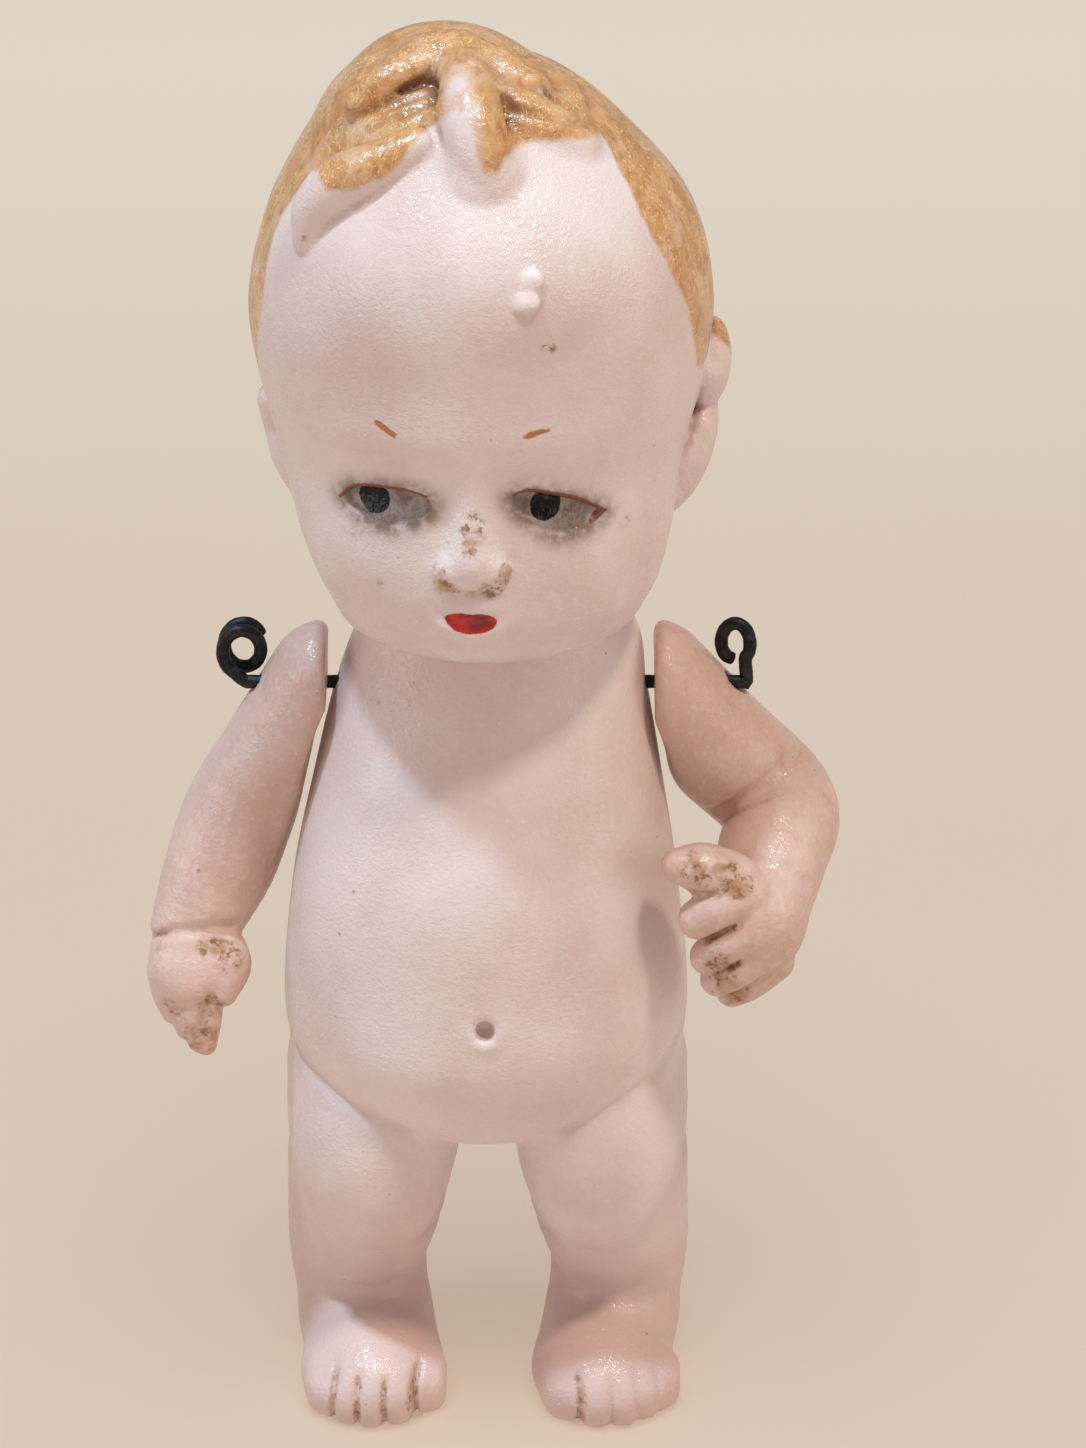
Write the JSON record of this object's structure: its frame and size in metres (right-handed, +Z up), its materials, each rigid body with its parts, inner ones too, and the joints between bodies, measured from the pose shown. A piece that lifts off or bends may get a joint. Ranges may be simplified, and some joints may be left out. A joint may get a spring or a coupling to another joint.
{
  "type": "all-bisque doll",
  "caption": "Standing baby doll of unglazed bisque: head, body and legs cast as one, with loose arms hung on an iron wire through the shoulders.",
  "frame": {"origin": "under the middle of the doll's box, on the surface it stands on", "axes": "+Z up from the soles to the crown, -Y the way the doll faces, +X towards the doll's left"},
  "size_m": [0.0624, 0.04, 0.1277],
  "materials": {
    "bisque": "unglazed, with worn paint on the hair and face",
    "arm_bisque": "unglazed, a little pinker than the body",
    "iron_wire": "dark and oxidised"
  },
  "bodies": {
    "body": {"body_casting": "bisque"},
    "wire": {"shoulder_wire": "iron_wire"},
    "right_arm": {"right_arm": "arm_bisque"},
    "left_arm": {"left_arm": "arm_bisque"}
  },
  "joints": [
    {"name": "wire_end_play", "type": "slide", "parent": "body", "child": "wire", "axis": [1, 0, 0], "range_m": [-0.0002, 0.0002]},
    {"name": "right_shoulder", "type": "hinge", "parent": "wire", "child": "right_arm", "pos_m": [-0.01455, 0.00026, 0.0692], "axis": [-1, 0, 0], "range_deg": [-20, 105]},
    {"name": "left_shoulder", "type": "hinge", "parent": "wire", "child": "left_arm", "pos_m": [0.0143, 0.00026, 0.0692], "axis": [-1, 0, 0], "range_deg": [-12, 100]}
  ]
}
